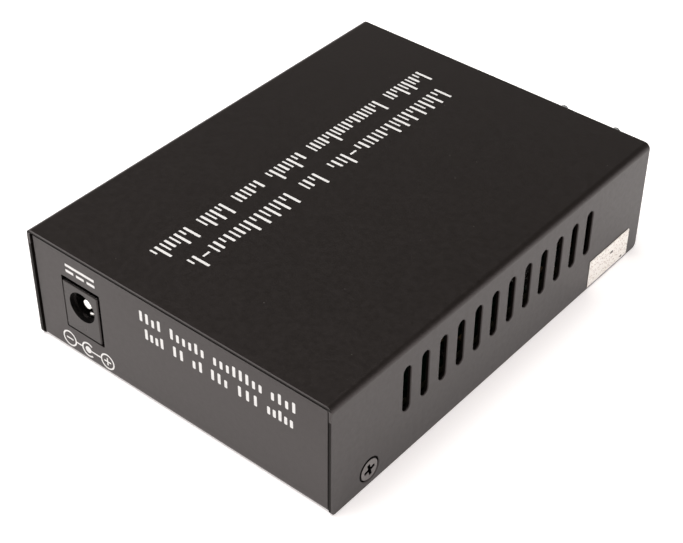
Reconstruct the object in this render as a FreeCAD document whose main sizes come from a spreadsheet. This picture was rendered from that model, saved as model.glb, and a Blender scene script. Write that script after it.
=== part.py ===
import FreeCAD, Part
import math
import os
import Sketcher
from FreeCAD import Vector, Placement, Rotation

# Fibre media converter: a two-piece folded steel case (cover and base) around one
# circuit board with a DC inlet at the rear (+Y) and an RJ45 socket and an SFP bay at
# the front (-Y). Millimetres. Origin: centre of the flat underside, +Z up.

doc = FreeCAD.newDocument("fibre_media_converter")
sheet = doc.addObject("Spreadsheet::Sheet", "dims")

DIMS = [
    # case
    ("body_width", 71.0), ("body_length", 94.2), ("body_height", 24.8),
    ("sheet_gauge", 0.7), ("cover_bend", 1.3), ("base_bend", 1.0), ("corner_round", 1.0),
    ("panel_setback", 0.3), ("panel_width", 68.7), ("panel_height", 23.7),
    ("flange_height", 7.0), ("flange_run", 89.0), ("relief_gap", 1.3),
    # vents
    ("vent_width", 2.0), ("vent_height", 10.0), ("vent_pitch", 5.0), ("vent_count", 12),
    ("vent_mid", 15.05), ("vent_shift", 0.2), ("vent_rim", 0.25),
    # cover screws (M3, countersunk)
    ("screw_y", 37.3), ("screw_z", 3.4), ("screw_head_radius", 2.22), ("screw_sunk", 0.0),
    ("screw_shank", 1.45), ("screw_length", 4.0), ("thread_hole", 1.5),
    ("dimple_rim", 2.65), ("dimple_seat", 2.3), ("dimple_hole", 1.65), ("dimple_skew", 0.22), ("dimple_well", 2.55),
    ("recess_span", 2.7), ("recess_slot", 0.7), ("recess_depth", 1.0),
    # board and its fixings
    ("board_width", 62.0), ("board_length", 90.8), ("board_gauge", 1.6), ("board_top", 6.2),
    ("post_radius", 2.75), ("post_foot", 2.08), ("post_seat", 2.1), ("post_bore", 1.3),
    ("board_hole", 1.6), ("pan_radius", 2.75), ("pan_height", 1.9),
    # DC inlet
    ("inlet_x", 23.15), ("inlet_z", 12.6), ("inlet_face", 46.7), ("inlet_width", 9.0), ("inlet_trim", 0.2),
    ("inlet_above", 4.35), ("inlet_below", 6.4), ("inlet_depth", 14.2),
    ("inlet_mouth", 3.2), ("mouth_depth", 1.2), ("inlet_bore", 2.85), ("bore_depth", 10.0),
    ("pin_radius", 1.05), ("pin_shoulder", 1.4), ("pin_setback", 1.3),
    ("inlet_window_left", 18.0), ("inlet_window_right", 27.75),
    ("inlet_window_low", 6.0), ("inlet_window_high", 18.1), ("window_round", 0.35),
    # RJ45 socket
    ("socket_x", -20.35), ("socket_face", -47.0), ("socket_width", 16.0),
    ("socket_height", 13.3), ("socket_depth", 21.0), ("shield_gauge", 0.25),
    ("plug_width", 11.8), ("plug_low", 3.4), ("plug_high", 10.3), ("plug_depth", 13.3),
    ("contact_pitch", 1.02),
    # SFP bay
    ("bay_x", 14.0), ("bay_face", -48.6), ("bay_width", 14.5), ("bay_low", 0.15),
    ("bay_high", 9.9), ("bay_depth", 48.1), ("cage_gauge", 0.25),
    ("edge_width", 9.3), ("edge_front", 37.0), ("edge_depth", 6.5), ("edge_pitch", 0.8),
    # light pipes and lamps
    ("pipe_radius", 1.0), ("pipe_spacing", 12.1), ("pipe_z", 22.1), ("pipe_tip", -50.5),
    ("pipe_drop_y", -22.0), ("pipe_hole", 1.2), ("pipe_bend", 2.2),
    ("lamp_x", -3.0), ("lamp_spread", 6.0), ("lamp_low", 10.4), ("lamp_high", 15.8),
    ("lamp_radius", 1.5), ("lamp_hole", 1.7), ("lamp_tip", -48.2),
    # seal label on the -X side
    ("label_back", -29.4), ("label_front", -43.4), ("label_low", 0.45), ("label_high", 6.8),
    ("label_gauge", 0.1), ("label_round", 0.35),
]
for row, (alias, value) in enumerate(DIMS, 1):
    sheet.set("A%d" % row, alias)
    sheet.set("B%d" % row, "%g" % value)
    sheet.setAlias("B%d" % row, alias)
doc.recompute()


def D(alias):
    return float(sheet.get(alias))


def ex(e):
    """An expression in the sheet's names, with each name given its sheet."""
    if isinstance(e, (int, float)):
        return "%g" % e
    out, word = [], ""
    for ch in e + " ":
        if ch.isalnum() or ch == "_":
            word += ch
            continue
        if word:
            out.append("dims." + word if word in NAMES else word)
            word = ""
        out.append(ch)
    return "".join(out).strip()


NAMES = set(a for a, v in DIMS)


def value(e):
    if isinstance(e, (int, float)):
        return float(e)
    v = sheet.evalExpression(ex(e))
    return float(v.Value) if hasattr(v, "Value") else float(v)


def bound(e):
    return isinstance(e, str) and any(n in e for n in NAMES)


PLANE_ROLE = {"x": "YZ_Plane", "y": "XZ_Plane", "z": "XY_Plane"}


def origin_feature(body, role):
    for f in body.Origin.OriginFeatures:
        if f.Role == role:
            return f
    raise RuntimeError(role)


def new_body(name):
    b = doc.addObject("PartDesign::Body", name)
    b.Label = name
    return b


def new_sketch(body, normal, at=0):
    """A sketch square to one axis, at a distance along +X, +Y or +Z."""
    sk = body.newObject("Sketcher::SketchObject", "sketch")
    sk.AttachmentSupport = [(origin_feature(body, PLANE_ROLE[normal]), "")]
    sk.MapMode = "FlatFace"
    sign = "-" if normal == "y" else ""
    v = value(at) * (-1 if normal == "y" else 1)
    sk.AttachmentOffset = Placement(Vector(0, 0, v), Rotation())
    if bound(at):
        sk.setExpression("AttachmentOffset.Base.z", ex("%s(%s)" % (sign, at)))
    return sk


def datum(sk, kind, geo, pos, e):
    """Places a point by its distance from the sketch's origin."""
    c = sk.addConstraint(Sketcher.Constraint(kind, geo, pos, value(e)))
    if bound(e):
        sk.setExpression("Constraints[%d]" % c, ex(e))


def polygon(sk, pts):
    n = len(pts)
    start = sk.GeometryCount
    vs = [Vector(value(a), value(b), 0) for a, b in pts]
    for i in range(n):
        sk.addGeometry(Part.LineSegment(vs[i], vs[(i + 1) % n]), False)
    for i in range(n):
        sk.addConstraint(Sketcher.Constraint("Coincident", start + i, 2, start + (i + 1) % n, 1))
    for i, (a, b) in enumerate(pts):
        datum(sk, "DistanceX", start + i, 1, a)
        datum(sk, "DistanceY", start + i, 1, b)


def rectangle(sk, a0, a1, b0, b1):
    polygon(sk, [(a0, b0), (a1, b0), (a1, b1), (a0, b1)])


def circle(sk, a, b, r):
    g = sk.addGeometry(Part.Circle(Vector(value(a), value(b), 0), Vector(0, 0, 1), value(r)), False)
    c = sk.addConstraint(Sketcher.Constraint("Radius", g, value(r)))
    if bound(r):
        sk.setExpression("Constraints[%d]" % c, ex(r))
    datum(sk, "DistanceX", g, 3, a)
    datum(sk, "DistanceY", g, 3, b)


def slot(sk, a, b0, b1, r):
    """An upright slot with full-round ends: centre line a, ends b0 and b1."""
    va, v0, v1, vr = value(a), value("(%s) + (%s)" % (b0, r)), value("(%s) - (%s)" % (b1, r)), value(r)
    g = sk.addGeometry(Part.ArcOfCircle(Part.Circle(Vector(va, v1, 0), Vector(0, 0, 1), vr), 0, math.pi), False)
    sk.addGeometry(Part.ArcOfCircle(Part.Circle(Vector(va, v0, 0), Vector(0, 0, 1), vr), math.pi, 2 * math.pi), False)
    sk.addGeometry(Part.LineSegment(Vector(va - vr, v1, 0), Vector(va - vr, v0, 0)), False)
    sk.addGeometry(Part.LineSegment(Vector(va + vr, v0, 0), Vector(va + vr, v1, 0)), False)
    for one, p1, two, p2 in ((g, 2, g + 2, 1), (g + 2, 2, g + 1, 1), (g + 1, 2, g + 3, 1), (g + 3, 2, g, 1)):
        sk.addConstraint(Sketcher.Constraint("Tangent", one, p1, two, p2))
    c = sk.addConstraint(Sketcher.Constraint("Radius", g, vr))
    sk.setExpression("Constraints[%d]" % c, ex(r))
    datum(sk, "DistanceX", g, 3, a)
    datum(sk, "DistanceY", g, 3, "(%s) - (%s)" % (b1, r))
    datum(sk, "DistanceY", g + 1, 3, "(%s) + (%s)" % (b0, r))


def sweep(body, sk, length, add):
    f = body.newObject("PartDesign::Pad" if add else "PartDesign::Pocket", "pad" if add else "pocket")
    f.Profile = sk
    f.Type = "Length"
    f.SideType = "Symmetric"
    f.Length = value(length)
    if bound(length):
        f.setExpression("Length", ex(length))
    body.Tip = f
    return f


def mid(lo, hi):
    if bound(lo) or bound(hi):
        return "((%s) + (%s)) / 2" % (lo, hi)
    return (lo + hi) / 2.0 if not isinstance(lo, str) and not isinstance(hi, str) else "((%s) + (%s)) / 2" % (lo, hi)


def span(lo, hi):
    if bound(lo) or bound(hi) or isinstance(lo, str) or isinstance(hi, str):
        return "(%s) - (%s)" % (hi, lo)
    return hi - lo


def prism(body, normal, lo, hi, shapes, add=True):
    """Adds or cuts straight shapes between lo and hi along the normal.
    shapes: ("rect", a0, a1, b0, b1), ("circle", a, b, r), ("slot", a, b0, b1, r) or ("poly", points)."""
    before = body.Shape.Volume if body.Tip else 0.0
    sk = new_sketch(body, normal, mid(lo, hi))
    for s in shapes:
        {"rect": rectangle, "circle": circle, "slot": slot, "poly": polygon}[s[0]](sk, *s[1:])
    f = sweep(body, sk, span(lo, hi), add)
    doc.recompute()
    after = body.Shape.Volume
    if (add and after <= before) or (not add and after >= before):
        raise RuntimeError("%s: %s changed nothing" % (body.Label, f.Name))
    return f


def turned(body, normal, at, axis, pts, add=True, along="a"):
    """Turns a closed profile about a line in the sketch. along 'a': the line runs along the
    sketch's first axis at second coordinate axis; 'b': along the second axis at first coordinate axis."""
    before = body.Shape.Volume if body.Tip else 0.0
    sk = new_sketch(body, normal, at)
    v = value(axis)
    if along == "a":
        g = sk.addGeometry(Part.LineSegment(Vector(-5, v, 0), Vector(5, v, 0)), True)
        sk.addConstraint(Sketcher.Constraint("Horizontal", g))
        datum(sk, "DistanceY", g, 1, axis)
        datum(sk, "DistanceX", g, 1, -5.0)
        datum(sk, "DistanceX", g, 2, 5.0)
    else:
        g = sk.addGeometry(Part.LineSegment(Vector(v, -5, 0), Vector(v, 5, 0)), True)
        sk.addConstraint(Sketcher.Constraint("Vertical", g))
        datum(sk, "DistanceX", g, 1, axis)
        datum(sk, "DistanceY", g, 1, -5.0)
        datum(sk, "DistanceY", g, 2, 5.0)
    polygon(sk, pts)
    f = body.newObject("PartDesign::Revolution" if add else "PartDesign::Groove", "turn")
    f.Profile = sk
    f.ReferenceAxis = (sk, ["Axis0"])
    f.Angle = 360
    body.Tip = f
    doc.recompute()
    after = body.Shape.Volume
    if (add and after <= before) or (not add and after >= before):
        raise RuntimeError("%s: %s changed nothing" % (body.Label, f.Name))
    return f


def edges_where(shape, test):
    names = []
    for i, e in enumerate(shape.Edges, 1):
        if e.Length > 1e-6 and test(e.CenterOfMass, e):
            names.append("Edge%d" % i)
    return names


def straight(e, axis):
    t = e.tangentAt(e.FirstParameter)
    return e.Curve.TypeId == "Part::GeomLine" and abs(abs(getattr(t, axis)) - 1) < 1e-6


def near(a, b, tol=0.02):
    return abs(a - b) < tol


def dress(body, kind, test, size, count=None):
    under = body.Tip
    names = edges_where(under.Shape, test)
    if not names or (count and len(names) != count):
        raise RuntimeError("%s: %d edges to %s" % (body.Label, len(names), kind))
    f = body.newObject("PartDesign::" + kind, kind.lower())
    f.Base = (under, names)
    prop = "Radius" if kind == "Fillet" else "Size"
    setattr(f, prop, value(size))
    if bound(size):
        f.setExpression(prop, ex(size))
    body.Tip = f
    doc.recompute()
    return f


def mirrored(body, originals, role="YZ_Plane"):
    before = body.Shape.Volume
    f = body.newObject("PartDesign::Mirrored", "mirrored")
    f.Originals = originals
    f.MirrorPlane = (origin_feature(body, role), [""])
    body.Tip = f
    doc.recompute()
    if near(body.Shape.Volume, before, 1e-6):
        raise RuntimeError("%s: the mirror changed nothing" % body.Label)
    return f


def place(obj, x=0, y=0, z=0, rotation=None):
    obj.Placement = Placement(Vector(value(x), value(y), value(z)), rotation or Rotation())
    for k, e in zip("xyz", (x, y, z)):
        if bound(e):
            obj.setExpression("Placement.Base." + k, ex(e))


def group(name, objs):
    c = doc.addObject("Part::Compound", name)
    c.Label = name
    c.Links = objs
    return c


def feature(name, shape, x=0, y=0, z=0):
    f = doc.addObject("Part::Feature", name)
    f.Label = name
    f.Shape = shape
    f.Placement = Placement(Vector(value(x), value(y), value(z)), Rotation())
    return f


def strip(line, gauge, width):
    """A bent metal strip: centre line as (y, z) points, extruded width along X about x = 0."""
    pts = [Vector(0, a, b) for a, b in line]
    left, right = [], []
    for i, p in enumerate(pts):
        d0 = (p - pts[i - 1]).normalize() if i else None
        d1 = (pts[i + 1] - p).normalize() if i < len(pts) - 1 else None
        n0 = Vector(0, -d0.z, d0.y) if d0 else None
        n1 = Vector(0, -d1.z, d1.y) if d1 else None
        if n0 and n1:
            n = n0 + n1
            n = n * (1.0 / n.dot(n0)) if n.Length > 1e-9 else n0
        else:
            n = n0 or n1
        left.append(p + n * (gauge / 2.0))
        right.append(p - n * (gauge / 2.0))
    loop = left + right[::-1]
    wire = Part.makePolygon(loop + [loop[0]])
    solid = Part.Face(wire).extrude(Vector(width, 0, 0))
    solid.translate(Vector(-width / 2.0, 0, 0))
    return solid


def moved(shape, x=0, y=0, z=0, turn=0):
    s = shape.copy()
    if turn:
        s.rotate(Vector(0, 0, 0), Vector(0, 0, 1), turn)
    s.translate(Vector(x, y, z))
    return s


NODES = []

# ---------------------------------------------------------------- cover
# Inverted U of sheet steel: top and two sides, open at both ends and below.
cover = new_body("cover")
prism(cover, "y", "-body_length / 2", "body_length / 2", [("poly", [
    ("-body_width / 2", 0), ("-body_width / 2", "body_height"), ("body_width / 2", "body_height"),
    ("body_width / 2", 0), ("body_width / 2 - sheet_gauge", 0),
    ("body_width / 2 - sheet_gauge", "body_height - sheet_gauge"),
    ("-body_width / 2 + sheet_gauge", "body_height - sheet_gauge"), ("-body_width / 2 + sheet_gauge", 0)])])
dress(cover, "Fillet", lambda c, e: straight(e, "y") and near(abs(c.x), D("body_width") / 2)
      and near(c.z, D("body_height")), "cover_bend", 2)
dress(cover, "Fillet", lambda c, e: straight(e, "y") and near(abs(c.x), D("body_width") / 2 - D("sheet_gauge"))
      and near(c.z, D("body_height") - D("sheet_gauge")), "cover_bend - sheet_gauge", 2)
dress(cover, "Fillet", lambda c, e: straight(e, "x") and near(c.z, 0) and near(abs(c.y), D("body_length") / 2)
      and near(e.Length, D("sheet_gauge")), "corner_round", 4)
vent = prism(cover, "x", "-body_width / 2 - 2", "body_width / 2 + 2", [
    ("slot", "vent_pitch * (vent_count - 1) / 2 + vent_shift", "vent_mid - vent_height / 2", "vent_mid + vent_height / 2",
     "vent_width / 2")], add=False)
vents = cover.newObject("PartDesign::LinearPattern", "vents")
vents.Originals = [vent]
vents.Direction = (origin_feature(cover, "Y_Axis"), [""])
vents.Reversed = True
vents.Length = value("vent_pitch * (vent_count - 1)")
vents.setExpression("Length", ex("vent_pitch * (vent_count - 1)"))
vents.Occurrences = int(value("vent_count"))
vents.setExpression("Occurrences", ex("vent_count"))
cover.Tip = vents
doc.recompute()
# the coat rounds the slots' outer rims
dress(cover, "Fillet", lambda c, e: near(abs(c.x), D("body_width") / 2) and 9 < c.z < 21 and abs(c.y) < 31,
      "vent_rim", 96)
# Formed countersinks: the sheet is pressed inwards round each screw.
dimples = []
for side in ("", "-"):
    yy = side + "screw_y"
    dimples.append(turned(cover, "y", yy, "screw_z", [
        ("-body_width / 2 + sheet_gauge - 0.1", "screw_z + dimple_rim + 0.6"),
        ("-body_width / 2 + sheet_gauge", "screw_z + dimple_rim + 0.45"),
        ("-body_width / 2 + sheet_gauge + 0.4", "screw_z + dimple_seat"),
        ("-body_width / 2 + sheet_gauge + 0.4", "screw_z + dimple_hole - 0.1"),
        ("-body_width / 2 + sheet_gauge - 0.1", "screw_z + dimple_hole - 0.1")]))
    dimples.append(turned(cover, "y", yy, "screw_z", [
        ("-body_width / 2 - 0.2", "screw_z"),
        ("-body_width / 2 - 0.2", "screw_z + dimple_rim"),
        ("-body_width / 2", "screw_z + dimple_rim"),
        ("-body_width / 2 + 0.12", "screw_z + dimple_seat + 0.02"),
        ("-body_width / 2 + 0.14", "screw_z + dimple_seat"),
        ("-body_width / 2 + 0.14 + dimple_seat - dimple_hole", "screw_z + dimple_hole"),
        ("-body_width / 2 + 2", "screw_z + dimple_hole"),
        ("-body_width / 2 + 2", "screw_z")], add=False))
    # the well above the seat stands a little off the screw's axis, toward the top
    dimples.append(prism(cover, "x", "-body_width / 2 - 0.3", "-body_width / 2 + 0.5", [
        ("circle", yy + " + dimple_skew / 2", "screw_z + dimple_skew", "dimple_well")], add=False))
mirrored(cover, dimples)
NODES.append(cover)

# ---------------------------------------------------------------- base
# U of sheet steel: bottom, front and rear panels, and a low flange along each side
# that takes the cover screws in extruded, threaded holes.
base = new_body("base")
PO = "body_length / 2 - panel_setback"
prism(base, "x", "-panel_width / 2", "panel_width / 2", [("poly", [
    ("-(%s)" % PO, "panel_height"), ("-(%s)" % PO, 0), (PO, 0), (PO, "panel_height"),
    (PO + " - sheet_gauge", "panel_height"), (PO + " - sheet_gauge", "sheet_gauge"),
    ("-(%s) + sheet_gauge" % PO, "sheet_gauge"), ("-(%s) + sheet_gauge" % PO, "panel_height")])])
pw, po, sg = D("panel_width"), value(PO), D("sheet_gauge")
dress(base, "Fillet", lambda c, e: straight(e, "x") and near(c.z, 0) and near(abs(c.y), po), "base_bend", 2)
dress(base, "Fillet", lambda c, e: straight(e, "x") and near(c.z, sg) and near(abs(c.y), po - sg),
      "base_bend - sheet_gauge", 2)
prism(base, "z", -1, 2, [
    ("rect", "%spanel_width / 2 %s 1.1" % (a, b), "%spanel_width / 2 %s 1" % (a, d),
     "%s(flange_run / 2)" % f, "%s(flange_run / 2 + relief_gap)" % f)
    for a, b, d in (("", "-", "+"), ("-", "+", "-")) for f in ("", "-")], add=False)
prism(base, "z", 0, "flange_height", [
    ("rect", "panel_width / 2 - sheet_gauge", "panel_width / 2", "-flange_run / 2", "flange_run / 2"),
    ("rect", "-panel_width / 2 + sheet_gauge", "-panel_width / 2", "-flange_run / 2", "flange_run / 2")])
fr = D("flange_run")
dress(base, "Fillet", lambda c, e: straight(e, "y") and near(c.z, 0) and near(abs(c.x), pw / 2)
      and near(e.Length, fr), "base_bend", 2)
dress(base, "Fillet", lambda c, e: straight(e, "y") and near(c.z, sg) and near(abs(c.x), pw / 2 - sg)
      and near(e.Length, fr), "base_bend - sheet_gauge", 2)
# rear panel: its top stands clear of the cover, and a window takes the DC inlet
prism(base, "y", PO + " - sheet_gauge - 0.4", PO + " + 1", [
    ("rect", -40, 40, "panel_height - 0.2", "panel_height + 1")], add=False)
prism(base, "y", PO + " - sheet_gauge - 1", PO + " + 1", [
    ("rect", "inlet_window_left", "inlet_window_right", "inlet_window_low", "inlet_window_high")], add=False)
dress(base, "Fillet", lambda c, e: straight(e, "y") and near(c.y, po - sg / 2) and near(e.Length, sg)
      and (near(c.x, D("inlet_window_left")) or near(c.x, D("inlet_window_right")))
      and (near(c.z, D("inlet_window_low")) or near(c.z, D("inlet_window_high"))), "window_round", 4)
# front panel: windows for the RJ45 socket and the SFP cage, holes for light pipes and lamps
prism(base, "y", "-(%s) - 1" % PO, "-(%s) + sheet_gauge + 1" % PO, [
    ("rect", "socket_x - socket_width / 2 - 0.2", "socket_x + socket_width / 2 + 0.2",
     "board_top - 0.15", "board_top + socket_height + 0.2"),
    ("rect", "bay_x - bay_width / 2 - 0.45", "bay_x + bay_width / 2 + 0.45",
     "board_top + bay_low - 0.6", "board_top + bay_high + 0.7"),
    ("circle", "socket_x - pipe_spacing / 2 - 0", "pipe_z", "pipe_hole"),
    ("circle", "socket_x + pipe_spacing / 2 + 0", "pipe_z", "pipe_hole"),
    ("circle", "lamp_x - lamp_spread / 2", "lamp_low", "lamp_hole"),
    ("circle", "lamp_x + lamp_spread / 2", "lamp_low", "lamp_hole"),
    ("circle", "lamp_x - lamp_spread / 2", "lamp_high", "lamp_hole"),
    ("circle", "lamp_x + lamp_spread / 2", "lamp_high", "lamp_hole")], add=False)
dress(base, "Fillet", lambda c, e: straight(e, "y") and near(c.y, -po + sg / 2) and near(e.Length, sg)
      and (near(abs(c.x - D("socket_x")), D("socket_width") / 2 + 0.2)
           or near(abs(c.x - D("bay_x")), D("bay_width") / 2 + 0.45)), 0.5, 8)
# seats for the board posts
POSTS = [(27.0, 26.0), (-27.0, 38.0), (27.0, -39.0), (-27.5, -17.5)]
prism(base, "z", -1, 2, [("circle", x, y, "post_seat") for x, y in POSTS], add=False)
collars = []
for side in ("", "-"):
    yy = side + "screw_y"
    collars.append(turned(base, "y", yy, "screw_z", [
        ("-panel_width / 2 + sheet_gauge - 0.1", "screw_z + thread_hole - 0.05"),
        ("-panel_width / 2 + sheet_gauge - 0.1", "screw_z + thread_hole + 0.95"),
        ("-panel_width / 2 + sheet_gauge", "screw_z + thread_hole + 0.85"),
        ("-panel_width / 2 + sheet_gauge + 0.8", "screw_z + thread_hole + 0.6"),
        ("-panel_width / 2 + sheet_gauge + 0.8", "screw_z + thread_hole - 0.05")]))
    collars.append(turned(base, "y", yy, "screw_z", [
        ("-panel_width / 2 - 0.5", "screw_z"), ("-panel_width / 2 - 0.5", "screw_z + thread_hole"),
        ("-panel_width / 2 + 2.5", "screw_z + thread_hole"), ("-panel_width / 2 + 2.5", "screw_z")], add=False))
mirrored(base, collars)
NODES.append(base)

# ---------------------------------------------------------------- cover screws
# M3 countersunk, cross recess. Modelled along +Z with the head's face at z = 0, then laid on X.
def countersunk(name):
    b = new_body(name)
    turned(b, "y", 0, 0, [(0, 0), ("screw_head_radius - 0.15", 0), ("screw_head_radius", -0.1),
                          ("screw_head_radius", -0.18), ("screw_shank", "-0.18 - screw_head_radius + screw_shank"),
                          ("screw_shank", "-screw_length + 0.4"), ("screw_shank - 0.4", "-screw_length"),
                          (0, "-screw_length")], along="b")
    s, w = "recess_span / 2", "recess_slot / 2"
    prism(b, "z", "-recess_depth", "recess_depth", [("poly", [
        (s, w), (w, w), (w, s), ("-" + w, s), ("-" + w, w), ("-" + s, w), ("-" + s, "-" + w),
        ("-" + w, "-" + w), ("-" + w, "-" + s), (w, "-" + s), (w, "-" + w), (s, "-" + w)])], add=False)
    return b


screws = []
for n, (sx, sy, turn) in enumerate(((-1, 1, 12), (-1, -1, 40), (1, 1, 65), (1, -1, 25))):
    b = countersunk("cover_screw_%d" % (n + 1))
    lay = Rotation(Vector(0, 1, 0), 90 * sx).multiply(Rotation(Vector(0, 0, 1), turn))
    place(b, "%s(body_width / 2 - screw_sunk)" % ("-" if sx < 0 else ""),
          "%sscrew_y" % ("-" if sy < 0 else ""), "screw_z", lay)
    screws.append(b)
NODES.append(group("cover_screws", screws))

# ---------------------------------------------------------------- board posts and screws
def post(name, x, y):
    b = new_body(name)
    turned(b, "y", 0, 0, [("post_bore", 0), ("post_foot", 0), ("post_foot", "sheet_gauge"),
                          ("post_radius", "sheet_gauge"), ("post_radius", "board_top - board_gauge"),
                          ("post_bore", "board_top - board_gauge")], along="b")
    place(b, x, y, 0)
    return b


def pan_screw(name, x, y):
    b = new_body(name)
    turned(b, "y", 0, 0, [(0, "pan_height"), ("pan_radius - 1.2", "pan_height"), ("pan_radius - 0.4", "pan_height - 0.35"),
                          ("pan_radius", "pan_height - 1.1"), ("pan_radius", 0), ("post_bore - 0.05", 0),
                          ("post_bore - 0.05", -4.4), (0, -4.4)], along="b")
    s, w = 1.3, 0.3
    prism(b, "z", "pan_height - 1.1", "pan_height + 1", [("poly", [
        (s, w), (w, w), (w, s), (-w, s), (-w, w), (-s, w), (-s, -w), (-w, -w), (-w, -s), (w, -s), (w, -w), (s, -w)])],
        add=False)
    place(b, x, y, "board_top")
    return b


NODES.append(group("board_posts", [post("board_post_%d" % (i + 1), x, y) for i, (x, y) in enumerate(POSTS)]))
NODES.append(group("board_screws", [pan_screw("board_screw_%d" % (i + 1), x, y) for i, (x, y) in enumerate(POSTS)]))

# ---------------------------------------------------------------- circuit board
board = new_body("circuit_board")
prism(board, "z", "board_top - board_gauge", "board_top",
      [("rect", "-board_width / 2", "board_width / 2", "-board_length / 2", "board_length / 2")])
prism(board, "z", 3, 8, [("circle", x, y, "board_hole") for x, y in POSTS], add=False)
HOLES = []  # x, y, radius of every lead hole
# DC inlet: centre blade, leaf, switch blade
HOLES += [("inlet_x", "inlet_face - 14.85", 1.5), ("inlet_x - 4.1", "inlet_face - 8.6", 1.0)]
# RJ45: eight contacts in two rows, two shield tabs
for i in range(8):
    HOLES.append(("socket_x + contact_pitch * %g" % (i - 3.5), "socket_face + %g" % (18.0 if i % 2 else 19.6), 0.42))
HOLES += [("socket_x - socket_width / 2 + 0.12", "socket_face + 10.6", 0.8),
          ("socket_x + socket_width / 2 - 0.12", "socket_face + 10.6", 0.8)]
# SFP cage pins
for y in (12.0, 20.0, 28.0, 36.0):
    for sx in ("-", "+"):
        HOLES.append(("bay_x %s (bay_width / 2 - cage_gauge / 2)" % sx, "bay_face + %g" % y, 0.55))
# lamps
for sx in ("-", "+"):
    for dx in (-1.27, 1.27):
        HOLES += [("lamp_x %s lamp_spread / 2 + %g" % (sx, dx), -38.6, 0.45),
                  ("lamp_x %s lamp_spread / 2 + %g" % (sx, dx), -36.6, 0.45)]
prism(board, "z", 3.1, 7.9, [("circle", x, y, r) for x, y, r in HOLES], add=False)
NODES.append(board)

# ---------------------------------------------------------------- DC inlet
inlet = new_body("power_jack_housing")
prism(inlet, "y", "-inlet_depth", 0, [("rect", "-inlet_width / 2 + inlet_trim", "inlet_width / 2 + 0.04", "-inlet_below", "inlet_above")])
prism(inlet, "y", "-inlet_depth - 1", -0.6, [("rect", "-inlet_width / 2 - 1", "inlet_width / 2 + 1",
                                               "inlet_above - 0.65", "inlet_above + 1")], add=False)
prism(inlet, "y", "-mouth_depth", 1, [("circle", 0, 0, "inlet_mouth")], add=False)
prism(inlet, "y", "-bore_depth", "-mouth_depth + 0.001", [("circle", 0, 0, "inlet_bore")], add=False)
prism(inlet, "y", "-inlet_depth - 1", "-bore_depth + 0.1", [("circle", 0, 0, "pin_shoulder + 0.04")], add=False)
# side pocket for the leaf contact, open into the bore and behind
prism(inlet, "y", "-inlet_depth - 1", -1.7, [("rect", -4.15, -2.2, -1.3, 1.3)], add=False)
prism(inlet, "z", "-inlet_below - 1", -1.2, [("rect", -4.15, -3.6, -9.6, -7.6)], add=False)
dress(inlet, "Fillet", lambda c, e: straight(e, "y") and c.x < -4 and c.z > 4 and c.y > -0.7, 0.4, 1)
dress(inlet, "Fillet", lambda c, e: near(c.y, 0) and straight(e, "x") and near(c.z, D("inlet_above")), 0.35, 1)
place(inlet, "inlet_x", "inlet_face", "inlet_z")
NODES.append(inlet)

pin = new_body("power_jack_pin")
turned(pin, "z", 0, 0, [(0, "-pin_setback"), ("pin_radius * 0.9", "-pin_setback"),
                        ("pin_radius", "-pin_setback - 0.25"), ("pin_radius", "-bore_depth + 0.05"),
                        ("pin_shoulder", "-bore_depth + 0.05"), ("pin_shoulder", -14.75), (0, -14.75)], along="b")
prism(pin, "y", -15.0, -14.7, [("poly", [(1.4, 1.4), (-1.4, 1.4), (-1.4, -9.6), (1.4, -9.6)])])
place(pin, "inlet_x", "inlet_face", "inlet_z")
NODES.append(pin)

leaf = strip([(-14.0, 3.95), (-7.0, 3.95), (-4.6, 2.62), (-3.9, 2.62), (-2.4, 3.35)], 0.3, 2.2)
leaf.rotate(Vector(0, 0, 0), Vector(0, 1, 0), -90)          # strip lies across the bore's side, bowed towards it
tail = Part.makeBox(0.3, 1.6, 9.6 - 1.1, Vector(-4.1, -9.4, -9.6))
# a curved lip at the leaf's free end wraps part of the way round the bore
arc = [math.radians(172 + 6.5 * k) for k in range(13)]
lip = [Vector(2.55 * math.cos(a), -4.5, 2.55 * math.sin(a)) for a in arc]
lip += [Vector(2.2 * math.cos(a), -4.5, 2.2 * math.sin(a)) for a in reversed(arc)]
lip = Part.Face(Part.makePolygon(lip + [lip[0]])).extrude(Vector(0, 2.5, 0))
curl = Part.makeTorus(2.2, 0.58, Vector(0, 0, 0), Vector(0, 0, 1), 0, 360, 42)
curl.rotate(Vector(0, 0, 0), Vector(0, 0, 1), 216)
curl.rotate(Vector(0, 0, 0), Vector(1, 0, 0), 90)
curl.translate(Vector(0, -1.9, 0))
leaf = leaf.fuse([tail, lip, curl]).removeSplitter()
NODES.append(feature("power_jack_spring", leaf, "inlet_x", "inlet_face", "inlet_z"))

# ---------------------------------------------------------------- RJ45 socket
shield = new_body("rj45_shield")
SW, SG = "socket_width / 2", "shield_gauge"
prism(shield, "y", 0, "socket_depth", [("rect", "-" + SW, SW, 0, "socket_height")])
prism(shield, "y", SG, "socket_depth - shield_gauge", [
    ("rect", "-%s + %s" % (SW, SG), "%s - %s" % (SW, SG), -1, "socket_height - shield_gauge")], add=False)
prism(shield, "y", -1, 1, [("rect", -6.7, 6.7, 0.9, 12.0)], add=False)
prism(shield, "y", 10.0, 11.2, [("rect", "-" + SW, "-%s + %s" % (SW, SG), -2.9, 0.5),
                                ("rect", "%s - %s" % (SW, SG), SW, -2.9, 0.5)])
place(shield, "socket_x", "socket_face", "board_top")
NODES.append(shield)

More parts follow.
